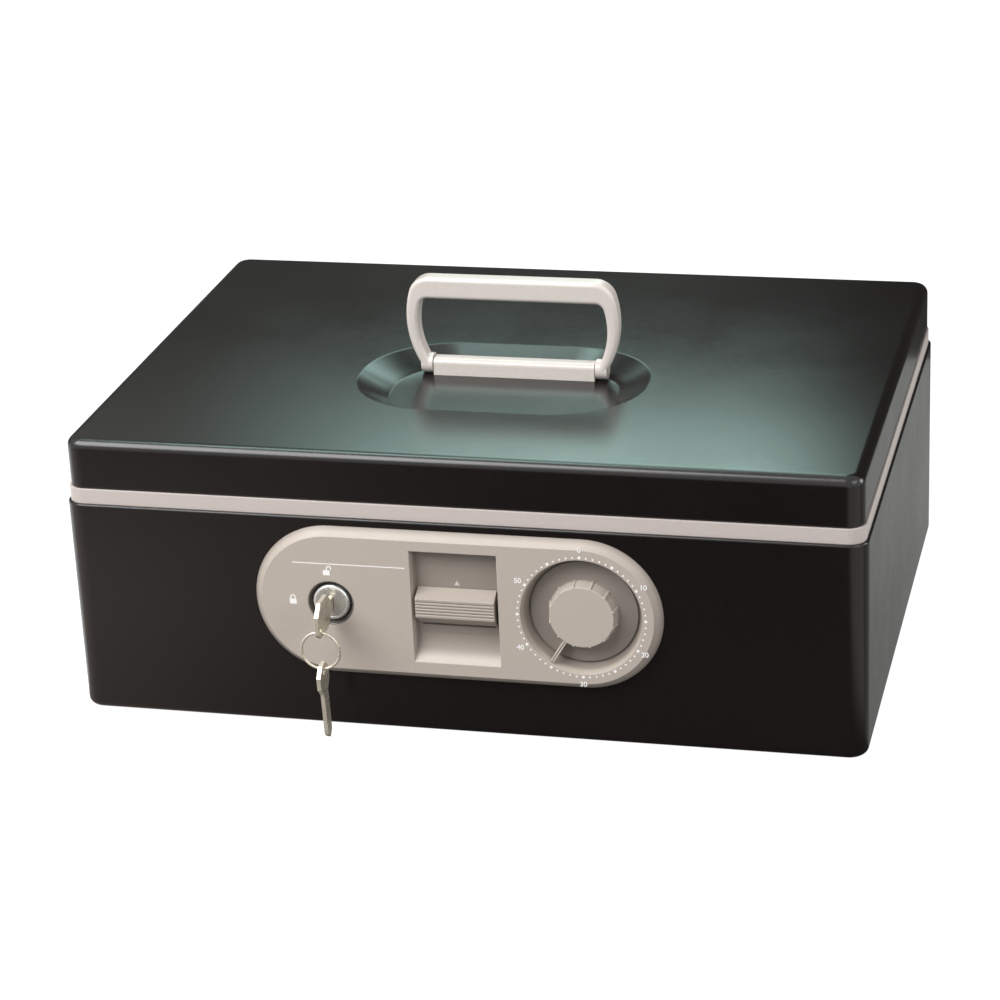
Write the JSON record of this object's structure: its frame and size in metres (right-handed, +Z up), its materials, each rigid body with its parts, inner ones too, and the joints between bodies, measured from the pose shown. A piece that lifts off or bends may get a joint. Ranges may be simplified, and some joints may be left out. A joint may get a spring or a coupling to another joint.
{
  "type": "cash box",
  "caption": "Portable steel cash box with hinged lid, folding carry handle, key lock, combination dial, slide-to-open button and a sliding coin tray inside.",
  "frame": {"origin": "middle of the flat base, on the surface the box stands on", "axes": "+X to the right seen from the front, -Y out of the front panel, +Z up"},
  "size_m": [0.37, 0.3052, 0.1767],
  "materials": {
    "black_paint": "satin",
    "trim_plastic": "gloss",
    "panel_plastic": "satin",
    "handle_plastic": "gloss",
    "dark_ring": "gloss",
    "tray_plastic": "matte",
    "chrome": "polished",
    "key_nickel": "polished",
    "zinc_steel": "zinc plated",
    "spring_steel": "bright",
    "brass": "machined"
  },
  "bodies": {
    "body": {"body_shell": "black_paint", "case_nuts": "zinc_steel", "case_studs": "zinc_steel", "catch_rivets": "zinc_steel", "catch_spring": "spring_steel", "control_panel": "panel_plastic", "dial_bush": "brass", "hinge_body_leaf_left": "black_paint", "hinge_body_leaf_right": "black_paint", "hinge_body_rivets": "zinc_steel", "hinge_pin_left": "zinc_steel", "hinge_pin_right": "zinc_steel", "lock_bezel": "dark_ring", "lock_case": "zinc_steel", "lock_housing": "chrome", "lock_nut": "zinc_steel", "panel_screws": "zinc_steel", "slide_guide_studs": "zinc_steel", "slide_return_springs": "spring_steel", "trim_frame": "trim_plastic"},
    "lid": {"lid_shell": "black_paint", "lid_keeper": "zinc_steel", "handle_base": "handle_plastic", "handle_screws": "zinc_steel", "handle_pins": "zinc_steel", "hinge_lid_leaf_left": "black_paint", "hinge_lid_leaf_right": "black_paint", "hinge_lid_rivets": "zinc_steel"},
    "handle": {"carry_handle": "handle_plastic"},
    "slider": {"slide_button": "panel_plastic", "slide_plate": "zinc_steel", "slide_plate_screw": "zinc_steel"},
    "dial": {"dial_knob": "panel_plastic", "dial_spindle": "zinc_steel", "drive_disc": "zinc_steel", "spindle_clip": "spring_steel"},
    "wheel_2": {"combination_wheel_2": "zinc_steel"},
    "wheel_1": {"combination_wheel_1": "zinc_steel"},
    "plug": {"lock_plug": "chrome", "lock_cam": "zinc_steel", "cam_screw": "zinc_steel"},
    "key": {"key": "key_nickel"},
    "ring": {"key_ring": "key_nickel"},
    "spare": {"spare_key": "key_nickel"},
    "tray": {"coin_tray": "tray_plastic"}
  },
  "joints": [
    {"name": "lid_hinge", "type": "hinge", "parent": "body", "child": "lid", "pos_m": [0, 0.1376, 0.108], "axis": [-1, 0, 0], "range_deg": [0, 100], "deforming": ["catch_spring"]},
    {"name": "handle_fold", "type": "hinge", "parent": "lid", "child": "handle", "pos_m": [0, -0.0055, 0.1325], "axis": [1, 0, 0], "range_deg": [0, 88]},
    {"name": "slide_button_push", "type": "slide", "parent": "body", "child": "slider", "axis": [0, 0, 1], "range_m": [0, 0.01], "stiffness_N_per_m": 200, "springref_m": -0.01, "deforming": ["catch_spring", "slide_return_springs"]},
    {"name": "dial_turn", "type": "hinge", "parent": "body", "child": "dial", "pos_m": [0.0581, -0.1382, 0.0642], "axis": [0, 1, 0], "continuous": true},
    {"name": "wheel_2_turn", "type": "hinge", "parent": "dial", "child": "wheel_2", "pos_m": [0.0581, -0.1189, 0.0642], "axis": [0, 1, 0], "range_deg": [-140, 180]},
    {"name": "wheel_1_turn", "type": "hinge", "parent": "wheel_2", "child": "wheel_1", "pos_m": [0.0581, -0.1139, 0.0642], "axis": [0, 1, 0], "range_deg": [-320, 0]},
    {"name": "key_turn", "type": "hinge", "parent": "body", "child": "plug", "pos_m": [-0.0581, -0.1382, 0.0642], "axis": [0, 1, 0], "range_deg": [-90, 0]},
    {"name": "key_withdraw", "type": "slide", "parent": "plug", "child": "key", "axis": [0, -1, 0], "range_m": [0, 0.028]},
    {"name": "ring_swing", "type": "hinge", "parent": "key", "child": "ring", "pos_m": [-0.0581, -0.1582, 0.05855], "axis": [-1, 0, 0], "range_deg": [-6, 60]},
    {"name": "spare_key_swing", "type": "hinge", "parent": "ring", "child": "spare", "pos_m": [-0.0581, -0.1582, 0.04075], "axis": [-1, 0, 0], "range_deg": [-6, 60]},
    {"name": "tray_slide", "type": "slide", "parent": "body", "child": "tray", "axis": [0, 1, 0], "range_m": [0, 0.093]}
  ]
}
